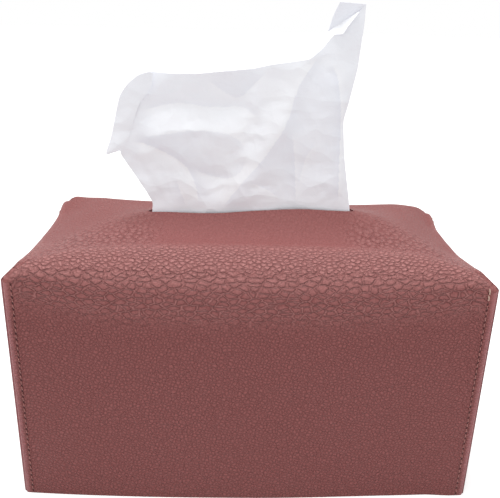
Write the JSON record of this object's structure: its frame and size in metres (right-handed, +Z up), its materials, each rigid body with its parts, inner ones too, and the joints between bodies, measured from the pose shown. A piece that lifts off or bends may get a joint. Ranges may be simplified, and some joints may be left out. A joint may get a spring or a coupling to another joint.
{
  "type": "tissue box cover",
  "caption": "Soft pebbled-leather cover for a tissue carton, with sewn corner flanges, a top slot with a tissue drawn up through it, and a strap closure under its open base.",
  "frame": {"origin": "middle of the base, on the surface that the hem stands on", "axes": "+Z up, +X along the cover from its left end to its right end, -Y towards the front long wall"},
  "size_m": [0.2498, 0.128, 0.262],
  "materials": {
    "leather": "pebbled, satin",
    "lining": "brushed backing",
    "seam_thread": "twisted thread",
    "strap": "smooth, satin",
    "loop_tape": "looped pile",
    "hook_tape": "hooked tape",
    "strap_thread": "twisted thread",
    "tissue": "soft tissue"
  },
  "bodies": {
    "cover": {"leather_sheet": "leather", "lining_sheet": "lining", "front_left_seam_thread": "seam_thread", "front_right_seam_thread": "seam_thread", "back_left_seam_thread": "seam_thread", "back_right_seam_thread": "seam_thread", "outer_strap_root": "strap", "outer_strap_root_stitching": "strap_thread", "inner_strap_root": "strap", "inner_strap_root_stitching": "strap_thread"},
    "lower_closure": {"outer_strap": "strap", "loop_patch": "loop_tape", "loop_patch_stitching": "strap_thread"},
    "upper_closure": {"inner_strap": "strap", "hook_patch": "hook_tape", "hook_patch_stitching": "strap_thread"},
    "tissue": {"tissue_sheet": "tissue"}
  },
  "joints": [
    {"name": "outer_strap_fold", "type": "hinge", "parent": "cover", "child": "lower_closure", "pos_m": [0, -0.06121, 0.0013], "axis": [-1, 0, 0], "range_deg": [0, 90]},
    {"name": "inner_strap_fold", "type": "hinge", "parent": "cover", "child": "upper_closure", "pos_m": [0, 0.06098, 0.0044], "axis": [1, 0, 0], "range_deg": [0, 45]},
    {"name": "tissue_draw", "type": "slide", "parent": "cover", "child": "tissue", "axis": [0, 0, 1], "range_m": [0, 0.12]}
  ],
  "couplings": [
    {"joint": "inner_strap_fold", "follows": "outer_strap_fold", "ratio": 0.5}
  ]
}
